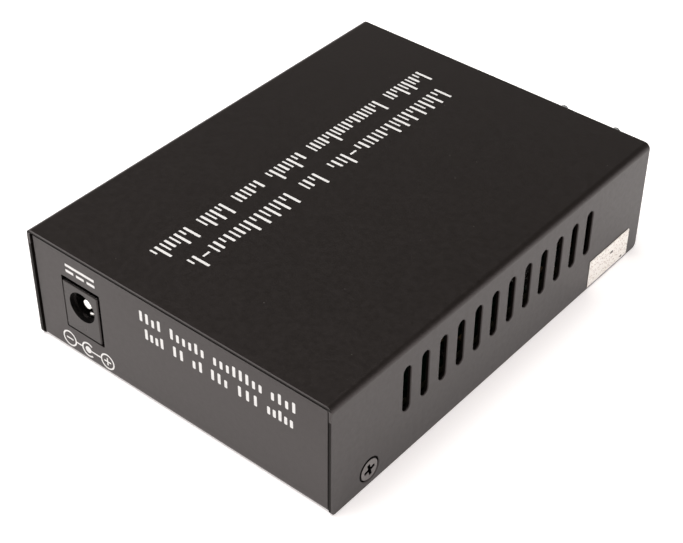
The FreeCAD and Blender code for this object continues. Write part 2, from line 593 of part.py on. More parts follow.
socket = new_body("rj45_housing")
prism(socket, "y", 0.3, 17.0, [("rect", -7.65, 7.65, 0.05, 12.95)])
prism(socket, "y", -1, "plug_depth", [("poly", [
    ("-plug_width / 2", "plug_low"), (-3.2, "plug_low"), (-3.2, 2.0), (-1.7, 2.0), (-1.7, 1.1), (1.7, 1.1), (1.7, 2.0),
    (3.2, 2.0), (3.2, "plug_low"), ("plug_width / 2", "plug_low"), ("plug_width / 2", "plug_high"),
    ("-plug_width / 2", "plug_high")])], add=False)
prism(socket, "y", 1.2, 17.5, [("rect", "contact_pitch * %g - 0.24" % (i - 3.5), "contact_pitch * %g + 0.24" % (i - 3.5),
                                "plug_high - 0.1", 11.6) for i in range(8)], add=False)
dress(socket, "Chamfer", lambda c, e: near(c.y, 0.3) and c.z > 3.5 and c.z < 10.29 and abs(c.x) < 6.2, 0.3)
place(socket, "socket_x", "socket_face", "board_top")
NODES.append(socket)

wires = []
for i in range(8):
    back = 18.0 if i % 2 else 19.6
    w = strip([(back, -2.9), (back, 10.9), (1.9, 10.9), (1.62, 10.55), (1.95, 10.2), (8.0, 7.95), (9.8, 7.82)], 0.28, 0.36)
    wires.append(moved(w, D("contact_pitch") * (i - 3.5)))
NODES.append(feature("rj45_contacts", Part.makeCompound(wires), "socket_x", "socket_face", "board_top"))

# ---------------------------------------------------------------- SFP bay
cage = new_body("sfp_cage")
CW, CG = "bay_width / 2", "cage_gauge"
prism(cage, "y", 0, "bay_depth", [("rect", "-" + CW, CW, "bay_low", "bay_high")])
prism(cage, "y", -1, "bay_depth - cage_gauge", [
    ("rect", "-%s + %s" % (CW, CG), "%s - %s" % (CW, CG), "bay_low + cage_gauge", "bay_high - cage_gauge")], add=False)
prism(cage, "z", -1, 1, [("rect", -5.7, 5.7, 36.4, 47.0),
                         ("poly", [(-1.9, 5.6), (1.9, 5.6), (1.9, 4.4), (0.6, 2.9), (-0.6, 2.9), (-1.9, 4.4)])], add=False)
prism(cage, "y", 47.0, 49.0, [("rect", -5.7, 5.7, -1, 6.4)], add=False)
prism(cage, "z", 9.0, 11.0, [("circle", x, y, 1.1) for x in (-3.6, 0, 3.6) for y in (14.0, 19.0, 24.0, 29.0, 34.0)],
      add=False)
prism(cage, "y", 35.6, 36.4, [("rect", "-" + CW, "-%s + %s" % (CW, CG), -3.1, 1.0),
                              ("rect", "%s - %s" % (CW, CG), CW, -3.1, 1.0)])
legs = cage.newObject("PartDesign::LinearPattern", "legs")
legs.Originals = [cage.Tip]
legs.Direction = (origin_feature(cage, "Y_Axis"), [""])
legs.Reversed = True
legs.Length = 24
legs.Occurrences = 4
cage.Tip = legs
doc.recompute()
place(cage, "bay_x", "bay_face", "board_top")
NODES.append(cage)

# Sprung collar round the cage mouth that earths it to the front panel.
cw, lo, hi = D("bay_width") / 2, D("bay_low"), D("bay_high")
gap, tk = 0.02, 0.15
ring = Part.makeBox(2 * (cw + gap + tk), 0.85, hi - lo + 2 * (gap + tk), Vector(-cw - gap - tk, 0.15, lo - gap - tk))
ring = ring.cut(Part.makeBox(2 * (cw + gap), 2, hi - lo + 2 * gap, Vector(-cw - gap, -0.5, lo - gap)))
mid_z = (lo + hi) / 2


def finger(half, run, bow, width, offset, angle):
    """A bowed finger standing off a wall at distance half from the cage's axis."""
    c = half + gap + tk / 2
    f = strip([(0.8, c), (1.0, c + 0.02), (2.1, c + bow), (2.7, c + bow * 0.92), (run, c)], tk, width)
    f.translate(Vector(offset, 0, 0))
    f.rotate(Vector(0, 0, 0), Vector(0, 1, 0), angle)
    f.translate(Vector(0, 0, mid_z))
    return f


fingers = [finger((hi - lo) / 2, 7.0, 0.42, 2.7, x, 0) for x in (-5.1, -1.7, 1.7, 5.1)]
fingers += [finger((hi - lo) / 2, 3.1, 0.3, 2.7, x, 180) for x in (-5.1, -1.7, 1.7, 5.1)]
for angle in (90, -90):
    fingers += [finger(cw, 7.0, 0.24, 2.4, z, angle) for z in (-3.0, 0.0, 3.0)]
collar = ring.multiFuse(fingers).removeSplitter()
NODES.append(feature("sfp_emi_collar", collar, "bay_x", "bay_face", "board_top"))

edge = new_body("sfp_connector")
prism(edge, "y", "edge_front", "edge_front + edge_depth", [("rect", "-edge_width / 2", "edge_width / 2", 0.05, 5.5)])
prism(edge, "y", "edge_front - 1", "edge_front + 4", [("rect", -4.2, 4.2, 2.35, 3.75)], add=False)
prism(edge, "y", "edge_front + 0.8", "edge_front + edge_depth + 1", [
    ("rect", "edge_pitch * %g - 0.22" % (i - 4.5), "edge_pitch * %g + 0.22" % (i - 4.5), a, b)
    for i in range(10) for a, b in ((3.7, 4.08), (2.02, 2.4))], add=False)
dress(edge, "Chamfer", lambda c, e: near(c.y, D("edge_front")) and 2.3 < c.z < 3.8 and abs(c.x) < 4.3, 0.25)
place(edge, "bay_x", "bay_face", "board_top")
NODES.append(edge)

beams = []
e0 = D("edge_front")
for i in range(10):
    x = D("edge_pitch") * (i - 4.5)
    beams.append(moved(strip([(e0 + 0.95, 3.92), (e0 + 1.7, 3.6), (e0 + 4.4, 3.9), (e0 + 8.2, 3.9), (e0 + 8.2, 0.1),
                              (e0 + 9.0, 0.1)], 0.18, 0.32), x))
    beams.append(moved(strip([(e0 + 0.95, 2.2), (e0 + 1.7, 2.5), (e0 + 4.4, 2.2), (e0 + 7.2, 2.2), (e0 + 7.2, 0.1),
                              (e0 + 7.8, 0.1)], 0.18, 0.32), x))
NODES.append(feature("sfp_connector_contacts", Part.makeCompound(beams), "bay_x", "bay_face", "board_top"))

# ---------------------------------------------------------------- light pipe
# Two clear rods joined by a saddle that rests on the RJ45 shield. Each runs back from its domed
# tip, over the socket, and turns down to a lamp on the board.
r, zt, y0, yd, rb = D("pipe_radius"), D("pipe_z"), D("pipe_tip"), D("pipe_drop_y"), D("pipe_bend")
low = D("board_top") + 1.5
path = Part.Wire([
    Part.LineSegment(Vector(0, y0 + r * 0.6, zt), Vector(0, yd - rb, zt)).toShape(),
    Part.Arc(Vector(0, yd - rb, zt), Vector(0, yd - rb + rb * math.sin(math.pi / 4), zt - rb + rb * math.cos(math.pi / 4)),
             Vector(0, yd, zt - rb)).toShape(),
    Part.LineSegment(Vector(0, yd, zt - rb), Vector(0, yd, low)).toShape()])
ring_wire = Part.Wire([Part.Circle(Vector(0, y0 + r * 0.6, zt), Vector(0, 1, 0), r).toShape()])
rod = path.makePipeShell([ring_wire], True, True)
cap_r = (r * r + (0.6 * r) ** 2) / (2 * 0.6 * r)     # a shallow dome, 0.6 of the rod's radius high
dome = Part.makeSphere(cap_r, Vector(0, y0 + cap_r, zt))
dome = dome.common(Part.makeCylinder(r, r * 0.6 + 0.0, Vector(0, y0, zt), Vector(0, 1, 0)))
rod = rod.fuse(dome).removeSplitter()
half = D("pipe_spacing") / 2
saddle = Part.makeBox(2 * half, 4.0, 1.3, Vector(-half, -36.0, zt - 1.3))
feet = [Part.makeBox(2.2, 4.0, zt - 1.0 - (D("board_top") + D("socket_height")),
                     Vector(x - 1.1, -36.0, D("board_top") + D("socket_height"))) for x in (-half, half)]
pipe = moved(rod, -half).multiFuse([moved(rod, half), saddle] + feet).removeSplitter()
NODES.append(feature("light_pipe", pipe, "socket_x", 0, 0))

# ---------------------------------------------------------------- lamps
lamp_block = new_body("lamp_holder")
prism(lamp_block, "y", -46.0, -40.2, [("rect", "-lamp_spread / 2 - 2.4", "lamp_spread / 2 + 2.4", "board_top", "lamp_high + 2.4")])
prism(lamp_block, "y", -47.0, -39.0, [("circle", "%slamp_spread / 2" % s, z, "lamp_radius + 0.03")
                                      for s in ("-", "") for z in ("lamp_low", "lamp_high")], add=False)
dress(lamp_block, "Chamfer", lambda c, e: straight(e, "x") and near(c.z, D("lamp_high") + 2.4), 0.4, 2)
place(lamp_block, "lamp_x", 0, 0)
NODES.append(lamp_block)

lamps = []
lr, tip = D("lamp_radius"), D("lamp_tip")
for sx in (-1, 1):
    for z, back in ((D("lamp_low"), -38.6), (D("lamp_high"), -36.6)):
        bulb = Part.makeCylinder(lr, 6.6, Vector(0, tip + lr, z), Vector(0, 1, 0))
        bulb = bulb.fuse(Part.makeSphere(lr, Vector(0, tip + lr, z), Vector(0, 1, 0)))
        bulb = bulb.fuse(Part.makeCylinder(lr + 0.35, 0.9, Vector(0, tip + lr + 6.6, z), Vector(0, 1, 0)))
        legs2 = [moved(strip([(tip + lr + 7.3, z), (back, z), (back, 3.2)], 0.5, 0.5), dx) for dx in (-1.27, 1.27)]
        lamps.append(moved(bulb.multiFuse(legs2).removeSplitter(), sx * D("lamp_spread") / 2))
NODES.append(feature("status_lamps", Part.makeCompound(lamps), "lamp_x", 0, 0))

pipe_lamps = []
for n, s in enumerate(("-", "+")):
    b = new_body("pipe_lamp_%d" % (n + 1))
    prism(b, "z", 0, 0.6, [("rect", -1.6, 1.6, -0.8, 0.8)])
    prism(b, "z", 0.6, 1.3, [("rect", -1.0, 1.0, -0.75, 0.75)])
    dress(b, "Fillet", lambda c, e: near(c.z, 1.3), 0.25)
    place(b, "socket_x %s pipe_spacing / 2" % s, "pipe_drop_y", "board_top")
    pipe_lamps.append(b)
NODES.append(group("pipe_lamps", pipe_lamps))

# ---------------------------------------------------------------- components on the board
def package(name, x, y, wx, wy, h, gap=0.1, chamfer=0.2, dot=None):
    b = new_body(name)
    prism(b, "z", gap, h, [("rect", -wx / 2, wx / 2, -wy / 2, wy / 2)])
    if dot:
        prism(b, "z", h - 0.12, h + 1, [("circle", dot[0], dot[1], dot[2])], add=False)
    dress(b, "Chamfer", lambda c, e: near(c.z, h) and e.Curve.TypeId == "Part::GeomLine", chamfer)
    place(b, x, y, "board_top")
    return b


CHIP = (-2.0, 6.0)
NODES.append(package("converter_chip", CHIP[0], CHIP[1], 14.0, 14.0, 1.5, dot=(-5.6, 5.6, 0.6)))
gull = [(0.0, 0.8), (0.45, 0.8), (0.75, 0.1), (1.3, 0.1)]
pins = []
for side in range(4):
    for i in range(16):
        p = moved(strip(gull, 0.16, 0.34), 0.8 * (i - 7.5), 7.0)
        pins.append(moved(p, turn=90 * side))
NODES.append(feature("converter_chip_leads", Part.makeCompound(pins), CHIP[0], CHIP[1], "board_top"))

MAG = (-15.6, -10.8)
NODES.append(package("transformer_module", MAG[0], MAG[1], 12.7, 7.0, 5.9, gap=0.15, chamfer=0.35, dot=(-5.2, -2.4, 0.6)))
pins = []
for turn in (0, 180):
    for i in range(8):
        pins.append(moved(moved(strip([(0.0, 1.6), (0.5, 1.6), (0.8, 0.13), (1.5, 0.13)], 0.22, 0.45),
                                1.27 * (i - 3.5), 3.5), turn=turn))
NODES.append(feature("transformer_leads", Part.makeCompound(pins), MAG[0], MAG[1], "board_top"))

crystal = new_body("crystal")
prism(crystal, "z", 0.1, 0.55, [("rect", -5.6, 5.6, -2.3, 2.3)])
prism(crystal, "z", 0.55, 3.5, [("rect", -5.1, 5.1, -1.9, 1.9)])
dress(crystal, "Fillet", lambda c, e: straight(e, "z") and near(e.Length, 0.45), 2.2, 4)
dress(crystal, "Fillet", lambda c, e: straight(e, "z") and near(e.Length, 2.95), 1.8, 4)
dress(crystal, "Fillet", lambda c, e: near(c.z, 3.5), 0.4)
place(crystal, 15.5, 13.0, "board_top")
NODES.append(crystal)


def can(name, x, y, rr, h):
    b = new_body(name)
    turned(b, "y", 0, 0, [(0, 0.05), (rr + 0.15, 0.05), (rr + 0.15, 0.9), (rr, 1.0), (rr, 1.6), (rr - 0.35, 1.9), (rr, 2.2),
                          (rr, h - 0.4), (rr - 0.4, h), (0, h)], along="b")
    place(b, x, y, "board_top")
    return b


NODES.append(group("electrolytic_capacitors", [can("capacitor_1", 11.5, 38.5, 3.15, 7.7), can("capacitor_2", 3.5, 38.5, 3.15, 7.7),
                                               can("capacitor_3", -5.0, 27.0, 2.5, 5.4)]))

reg = package("voltage_regulator", -4.5, 38.0, 6.5, 3.5, 1.7)
prism(reg, "z", 0.02, 0.6, [("rect", -1.5, 1.5, 1.0, 3.5), ("rect", -2.65, -1.95, -3.5, -1.0), ("rect", -0.35, 0.35, -3.5, -1.0),
                           ("rect", 1.95, 2.65, -3.5, -1.0)])
NODES.append(reg)

coil = new_body("power_inductor")
prism(coil, "z", 0.05, 4.0, [("rect", -3.6, 3.6, -3.6, 3.6)])
dress(coil, "Chamfer", lambda c, e: straight(e, "z"), 1.2, 4)
prism(coil, "z", 3.2, 5.0, [("circle", 0, 0, 2.6)], add=False)
prism(coil, "z", 3.0, 3.9, [("circle", 0, 0, 2.2)])
place(coil, -15.0, 34.0, "board_top")
NODES.append(coil)

diode = package("protection_diode", 13.0, 29.0, 4.4, 2.6, 2.2, chamfer=0.25)
prism(diode, "z", 0.02, 0.9, [("rect", -2.6, -2.0, -0.7, 0.7), ("rect", 2.0, 2.6, -0.7, 0.7)])
NODES.append(diode)

memory = package("memory_chip", 14.5, 3.0, 4.9, 3.9, 1.5, dot=(-1.8, -1.2, 0.35))
prism(memory, "z", 0.02, 0.22, [("rect", 1.27 * (i - 1.5) - 0.2, 1.27 * (i - 1.5) + 0.2, a, b)
                               for i in range(4) for a, b in ((1.9, 3.0), (-3.0, -1.9))])
NODES.append(memory)

# Chip resistors and capacitors, lying along X or Y.
CHIPS = [(-29.4, 8.8, 1), (-29.4, 3.4, 1), (-29.6, -4.2, 1), (-29.3, -21.6, 1), (-29.5, -26.4, 1), (-29.4, -31.2, 1),
         (-26.4, 6.4, 0), (-26.4, 1.6, 0), (-26.2, 14.0, 1), (-26.2, -6.0, 1), (-23.0, 12.0, 0), (-23.0, 9.4, 0),
         (-21.6, 20.0, 1), (-18.6, 20.0, 1), (-15.6, 20.0, 1), (-14.0, 6.0, 0), (-14.0, 2.4, 0), (-10.0, 18.0, 1),
         (-4.0, 18.0, 0), (1.0, 18.0, 0), (6.0, 17.0, 1), (9.0, 8.0, 1), (9.0, 3.0, 1), (3.8, -5.2, 0),
         (-0.6, -5.2, 0), (-6.0, -6.0, 0), (8.6, 22.0, 0), (20.0, 20.0, 1), (22.6, 12.0, 0), (22.6, 8.0, 0),
         (26.0, 2.0, 1), (26.0, -4.0, 1), (26.2, -12.0, 1), (26.0, -20.0, 1), (-8.0, -20.0, 0), (-8.0, -24.0, 0),
         (-3.0, -28.0, 1), (1.5, -20.0, 1)]
small = []
for x, y, across in CHIPS:
    wx, wy = (0.85, 1.6) if across else (1.6, 0.85)
    body = Part.makeBox(wx, wy, 0.55, Vector(x - wx / 2, y - wy / 2, 0.03))
    small.append(body.makeChamfer(0.06, [e for e in body.Edges if e.CenterOfMass.z > 0.5]))
NODES.append(feature("chip_components", Part.makeCompound(small), 0, 0, "board_top"))

# ---------------------------------------------------------------- seal label
label = new_body("seal_label")
prism(label, "x", "-body_width / 2 - label_gauge", "-body_width / 2",
      [("rect", "label_front", "label_back", "label_low", "label_high")])
dress(label, "Fillet", lambda c, e: straight(e, "x") and near(c.z, D("label_high")) and near(c.y, D("label_front")),
      "label_round", 1)
NODES.append(label)

# ---------------------------------------------------------------- check and write
doc.recompute()
bad = [(o.Name, o.State) for o in doc.Objects if any(s in ("Invalid", "Error") for s in o.State)]
if bad:
    raise RuntimeError("failed objects: %s" % bad)
for node in NODES:
    s = node.Shape
    if s.isNull() or not s.isValid() or not s.Solids:
        raise RuntimeError("%s: null, invalid or no solid" % node.Label)
os.makedirs("parts", exist_ok=True)
wanted = set()
for node in NODES:
    node.Shape.exportStep("parts/%s.step" % node.Label)
    wanted.add("%s.step" % node.Label)
    bb = node.Shape.BoundBox
    print("%-24s solids %3d  volume %9.2f  X %7.2f %7.2f  Y %7.2f %7.2f  Z %6.2f %6.2f" % (
        node.Label, len(node.Shape.Solids), node.Shape.Volume, bb.XMin, bb.XMax, bb.YMin, bb.YMax, bb.ZMin, bb.ZMax))
for old in os.listdir("parts"):
    if old.endswith(".step") and old not in wanted:
        os.remove(os.path.join("parts", old))
print("nodes:", len(NODES))
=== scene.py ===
import math

import bmesh
import bpy
from mathutils import Matrix, Vector


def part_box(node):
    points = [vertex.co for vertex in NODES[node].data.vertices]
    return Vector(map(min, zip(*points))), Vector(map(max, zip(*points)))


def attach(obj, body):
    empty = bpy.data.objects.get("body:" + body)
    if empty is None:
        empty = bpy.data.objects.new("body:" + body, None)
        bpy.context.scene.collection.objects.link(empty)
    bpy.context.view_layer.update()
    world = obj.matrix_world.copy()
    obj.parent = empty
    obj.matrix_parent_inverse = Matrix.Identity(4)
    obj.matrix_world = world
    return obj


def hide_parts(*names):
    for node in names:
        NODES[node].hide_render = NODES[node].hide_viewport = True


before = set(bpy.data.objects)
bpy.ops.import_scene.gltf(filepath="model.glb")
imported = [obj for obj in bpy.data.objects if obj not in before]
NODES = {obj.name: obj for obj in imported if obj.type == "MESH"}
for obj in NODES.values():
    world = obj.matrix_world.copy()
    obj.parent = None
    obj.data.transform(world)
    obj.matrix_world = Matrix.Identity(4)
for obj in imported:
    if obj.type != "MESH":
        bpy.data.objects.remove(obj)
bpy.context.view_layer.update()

scene = bpy.context.scene
MM = 0.001


# ------------------------------------------------------------------ small helpers for node graphs
class Graph:
    """A material's node tree, with one-line calls for the nodes used here."""

    def __init__(self, name):
        self.material = bpy.data.materials.new(name)
        self.material.use_nodes = True
        self.tree = self.material.node_tree
        self.tree.nodes.clear()
        self.out = self.add("ShaderNodeOutputMaterial")
        self.shader = self.add("ShaderNodeBsdfPrincipled")
        self.link(self.shader.outputs["BSDF"], self.out.inputs["Surface"])
        self.coord = self.add("ShaderNodeTexCoord").outputs["Object"]
        self.geometry = self.add("ShaderNodeNewGeometry")
        self.height = None

    def add(self, kind, **props):
        n = self.tree.nodes.new(kind)
        for k, v in props.items():
            setattr(n, k, v)
        return n

    def link(self, a, b):
        self.tree.links.new(a, b)

    def put(self, value, socket):
        """A link when value is a socket, or a plain default."""
        if isinstance(value, bpy.types.NodeSocket):
            self.link(value, socket)
        else:
            socket.default_value = value

    def set(self, **values):
        names = {"color": "Base Color", "metal": "Metallic", "rough": "Roughness", "spec": "Specular IOR Level", "ior": "IOR",
                 "coat": "Coat Weight", "tint": "Specular Tint", "coat_rough": "Coat Roughness", "transmission": "Transmission Weight",
                 "sheen": "Sheen Weight", "aniso": "Anisotropic", "emit": "Emission Color", "emit_strength": "Emission Strength",
                 "subsurface": "Subsurface Weight", "sub_scale": "Subsurface Scale", "sub_radius": "Subsurface Radius"}
        for k, v in values.items():
            if isinstance(v, tuple) and len(v) == 3 and k in ("color", "emit", "tint"):
                v = (*v, 1.0)
            self.put(v, self.shader.inputs[names[k]])

    def mapped(self, scale=(1, 1, 1), rotation=(0, 0, 0), offset=(0, 0, 0), source=None):
        n = self.add("ShaderNodeMapping")
        self.link(source or self.coord, n.inputs["Vector"])
        n.inputs["Scale"].default_value = scale
        n.inputs["Rotation"].default_value = rotation
        n.inputs["Location"].default_value = offset
        return n.outputs["Vector"]

    def noise(self, scale, detail=2.0, rough=0.5, vector=None, distortion=0.0, color=False):
        n = self.add("ShaderNodeTexNoise")
        self.link(vector or self.coord, n.inputs["Vector"])
        n.inputs["Scale"].default_value = scale
        n.inputs["Detail"].default_value = detail
        n.inputs["Roughness"].default_value = rough
        n.inputs["Distortion"].default_value = distortion
        return n.outputs["Color" if color else "Fac"]

    def cells(self, scale, vector=None, feature="F1", randomness=1.0):
        n = self.add("ShaderNodeTexVoronoi", feature=feature)
        self.link(vector or self.coord, n.inputs["Vector"])
        n.inputs["Scale"].default_value = scale
        n.inputs["Randomness"].default_value = randomness
        return n

    def math(self, op, a, b=0.0, c=0.0, clamp=False):
        n = self.add("ShaderNodeMath", operation=op, use_clamp=clamp)
        self.put(a, n.inputs[0])
        self.put(b, n.inputs[1])
        self.put(c, n.inputs[2])
        return n.outputs[0]

    def rescale(self, v, a0, a1, b0=0.0, b1=1.0, smooth=True):
        n = self.add("ShaderNodeMapRange", clamp=True, interpolation_type="SMOOTHSTEP" if smooth else "LINEAR")
        self.put(v, n.inputs["Value"])
        n.inputs["From Min"].default_value = a0
        n.inputs["From Max"].default_value = a1
        n.inputs["To Min"].default_value = b0
        n.inputs["To Max"].default_value = b1
        return n.outputs["Result"]

    def mix(self, fac, a, b):
        n = self.add("ShaderNodeMix", data_type="RGBA")
        self.put(fac, n.inputs["Factor"])
        for v, s in ((a, n.inputs[6]), (b, n.inputs[7])):
            self.put((*v, 1.0) if isinstance(v, tuple) and len(v) == 3 else v, s)
        return n.outputs[2]

    def xyz(self, source=None):
        n = self.add("ShaderNodeSeparateXYZ")
        self.link(source or self.coord, n.inputs[0])
        return n.outputs

    def normal_z(self):
        n = self.add("ShaderNodeSeparateXYZ")
        self.link(self.geometry.outputs["Normal"], n.inputs[0])
        return n.outputs

    def bump(self, height, distance, strength=1.0):
        """Adds one layer of relief; distance is its depth in metres."""
        n = self.add("ShaderNodeBump")
        n.inputs["Strength"].default_value = strength
        n.inputs["Distance"].default_value = distance
        self.link(height, n.inputs["Height"])
        if self.height is not None:
            self.link(self.height, n.inputs["Normal"])
        self.height = n.outputs["Normal"]
        self.link(self.height, self.shader.inputs["Normal"])
        return self.height


def finish_node(name, material):
    slots = NODES[name].material_slots
    for s in slots:
        s.material = material


# ------------------------------------------------------------------ materials
def powder_coat(name, seed, dust, cut_edge=None):
    """Satin black powder coat: a fine pebbled skin over soft ripple, a few specks of dust."""
    g = Graph(name)
    at = g.mapped(offset=(seed * 0.37, seed * 0.21, seed * 0.11))
    pebble = g.noise(1500.0, 2.5, 0.55, at)
    ripple = g.noise(420.0, 1.5, 0.5, at)
    cloud = g.noise(32.0, 3.0, 0.55, at)
    tone = g.mix(g.rescale(cloud, 0.3, 0.7), COAT_LOW, COAT_HIGH)
    grain = g.rescale(pebble, 0.35, 0.65, 0.93, 1.07, smooth=False)
    mul = g.add("ShaderNodeVectorMath", operation="SCALE")
    g.link(tone, mul.inputs[0])
    g.link(grain, mul.inputs["Scale"])
    tone = mul.outputs[0]
    # dust specks: a few cells of two sizes each hold one small pale dot
    face = g.rescale(g.normal_z()[2], 0.2, 0.9, dust[1], dust[0])
    specks = 0.0
    for scale, radius, share in ((260.0, 0.028, 0.86), (620.0, 0.05, 0.93)):
        v = g.cells(scale, at)
        pick = g.math("GREATER_THAN", g.xyz(v.outputs["Color"])[0], share)
        dot = g.rescale(v.outputs["Distance"], radius * 0.5, radius, 1.0, 0.0)
        specks = g.math("MAXIMUM", g.math("MULTIPLY", pick, dot), specks)
    specks = g.math("MULTIPLY", specks, face)
    g.set(color=g.mix(g.math("MULTIPLY", specks, 0.6), tone, (0.30, 0.28, 0.26)))
    rough = g.rescale(g.noise(900.0, 2.0, 0.6, at), 0.3, 0.7, COAT_ROUGH - 0.03, COAT_ROUGH + 0.03, smooth=False)
    g.set(rough=g.math("ADD", rough, g.math("MULTIPLY", specks, 0.3)), ior=1.5, tint=(1.0, 0.87, 0.86))
    if cut_edge is not None:
        # the sheared edge: burnished above, torn and dull in its lower part, where the coat is thin
        end = g.math("GREATER_THAN", g.math("ABSOLUTE", g.normal_z()[1]), 0.85)
        z = g.math("ADD", g.xyz()[2], g.math("MULTIPLY", g.math("SUBTRACT", g.noise(500.0, 2.0, 0.5), 0.5), 0.00006))
        torn = g.math("MULTIPLY", end, g.math("MULTIPLY", g.math("GREATER_THAN", z, cut_edge[0]), g.rescale(z, cut_edge[1] - 0.00003, cut_edge[1] + 0.00003, 1.0, 0.0)))
        # inside the wells and slots the coat is thin and dull too
        inside = g.math("MULTIPLY", g.rescale(g.math("ABSOLUTE", g.xyz()[0]), 0.03522, 0.03540, 1.0, 0.0),
                        g.math("LESS_THAN", g.xyz()[2], 0.0215))
        dull = g.math("MAXIMUM", torn, inside)
        g.set(spec=g.rescale(dull, 0.0, 1.0, 0.5, 0.06, smooth=False))
    g.bump(ripple, 0.0000045)
    g.bump(pebble, 0.0000075)
    return g.material


COAT_LOW, COAT_HIGH, COAT_ROUGH = (0.0074, 0.0061, 0.0054), (0.0079, 0.0065, 0.0057), 0.35


def moulded(name, color, rough, grain=0.000006, scale=2600.0, seed=0.0, coat=0.0, tint=(1.0, 1.0, 1.0)):
    """Moulded plastic: spark-eroded grain and a little unevenness of gloss."""
    g = Graph(name)
    at = g.mapped(offset=(seed, seed * 1.7, seed * 0.3))
    fine = g.noise(scale, 3.0, 0.6, at)
    wide = g.noise(180.0, 2.0, 0.5, at)
    lo = tuple(c * 0.85 for c in color)
    hi = tuple(c * 1.2 for c in color)
    g.set(color=g.mix(wide, lo, hi), rough=g.rescale(wide, 0.3, 0.7, rough - 0.06, rough + 0.06), coat=coat, tint=tint)
    g.bump(fine, grain)
    return g.material


def plated(name, color, rough, brush=(1, 1, 1), depth=0.000003, seed=0.0, stain=0.15):
    """Plated or drawn metal: fine lines along the strip, faint dull clouds."""
    g = Graph(name)
    at = g.mapped(scale=brush, offset=(seed, seed, seed))
    lines = g.noise(1800.0, 4.0, 0.65, at)
    cloud = g.noise(260.0, 3.0, 0.6, g.mapped(offset=(seed, 0, seed)))
    dull = tuple(c * (1 - stain) for c in color)
    g.set(color=g.mix(g.rescale(cloud, 0.35, 0.7), color, dull), metal=1.0,
          rough=g.rescale(g.math("ADD", g.math("MULTIPLY", lines, 0.6), g.math("MULTIPLY", cloud, 0.4)), 0.3, 0.7,
                          max(rough - 0.08, 0.05), rough + 0.1))
    g.bump(lines, depth)
    return g.material


def screw_oxide_and_rim_shade():
    """Black oxide on the cover's screws: worn to grey on the face, and unworn and near black down in the cross; round
    the rim and down the head's side, the near black is painted shade for the gap round the head.
    """
    g = Graph("screw_black_oxide_and_rim_shade")
    x, y, z = g.xyz()[0], g.xyz()[1], g.xyz()[2]
    along = g.math("SUBTRACT", g.math("ABSOLUTE", y), 0.0373)
    up = g.math("SUBTRACT", z, 0.0034)
    radius = g.math("POWER", g.math("ADD", g.math("POWER", along, 2.0), g.math("POWER", up, 2.0)), 0.5)
    # painted shade: past this radius the head is near black, standing in for the shadowed gap round it; below the
    # face's plane, in the cross, the dark is the unworn oxide
    face = g.rescale(radius, 0.00206, 0.00220, 1.0, 0.0)
    face = g.math("MULTIPLY", face, g.rescale(g.math("ABSOLUTE", x), 0.03538, 0.03547))
    lines = g.noise(1800.0, 4.0, 0.65)
    cloud = g.noise(420.0, 3.0, 0.6)
    worn = g.mix(g.rescale(cloud, 0.35, 0.7), (0.21, 0.195, 0.19), (0.150, 0.138, 0.135))
    g.set(color=g.mix(face, (0.006, 0.0055, 0.0055), worn), metal=1.0, rough=g.rescale(lines, 0.3, 0.7, 0.30, 0.46))
    g.bump(lines, 0.000006)
    return g.material


def circuit_mask():
    """Green solder mask over copper: raised tracks along and across, tinned vias, bare laminate on the cut edge."""
    g = Graph("board_green_mask")
    x, y, z = g.xyz()[0], g.xyz()[1], g.xyz()[2]
    block = g.cells(95.0, randomness=0.9)
    turn = g.math("GREATER_THAN", g.xyz(block.outputs["Color"])[0], 0.5)
    wobble = g.math("MULTIPLY", g.noise(60.0, 1.0, 0.5), 0.004)

    def lanes(v):
        s = g.math("FRACT", g.math("MULTIPLY", g.math("ADD", v, wobble), 780.0))
        return g.math("MULTIPLY", g.rescale(s, 0.18, 0.26), g.rescale(s, 0.60, 0.68, 1.0, 0.0))

    mixed = g.add("ShaderNodeMix", data_type="FLOAT")
    g.link(turn, mixed.inputs[0])
    g.link(lanes(x), mixed.inputs[2])
    g.link(lanes(y), mixed.inputs[3])
    laid = g.math("GREATER_THAN", g.xyz(block.outputs["Color"])[1], 0.45)
    track = g.math("MULTIPLY", mixed.outputs[0], laid)
    pour = g.math("GREATER_THAN", g.noise(48.0, 1.0, 0.4), 0.55)
    copper = g.math("MAXIMUM", track, pour)
    color = g.mix(copper, (0.0018, 0.013, 0.008), (0.004, 0.040, 0.021))
    via = g.cells(330.0, randomness=0.75)
    ring = g.math("MULTIPLY", g.rescale(via.outputs["Distance"], 0.10, 0.14, 1.0, 0.0),
                  g.math("GREATER_THAN", g.xyz(via.outputs["Color"])[2], 0.80))
    # painted shade: a near-black dot in each via ring stands in for the shadow down its unmodelled bore
    via_bore_shade = g.math("MULTIPLY", g.rescale(via.outputs["Distance"], 0.04, 0.06, 1.0, 0.0), ring)
    color = g.mix(ring, color, (0.55, 0.53, 0.45))
    color = g.mix(via_bore_shade, color, (0.02, 0.02, 0.015))
    flat = g.rescale(g.math("ABSOLUTE", g.normal_z()[2]), 0.4, 0.7)
    layers = g.rescale(g.noise(1600.0, 2.0, 0.6, g.mapped(scale=(0.15, 0.15, 4.0))), 0.35, 0.65)
    edge = g.mix(layers, (0.20, 0.20, 0.12), (0.33, 0.33, 0.22))
    g.set(color=g.mix(flat, edge, color), rough=g.rescale(flat, 0.0, 1.0, 0.7, 0.28), ior=1.5)
    g.bump(copper, 0.00003)
    g.bump(g.noise(900.0, 2.0, 0.5), 0.000006)
    return g.material


def clear_moulding():
    g = Graph("clear_moulding")
    haze = g.noise(500.0, 3.0, 0.6)
    g.set(color=g.mix(haze, (0.30, 0.31, 0.31), (0.42, 0.43, 0.43)), rough=g.rescale(haze, 0.3, 0.7, 0.14, 0.28), ior=1.49,
          transmission=0.62)
    g.bump(g.noise(1400.0, 2.0, 0.5), 0.000004)
    return g.material


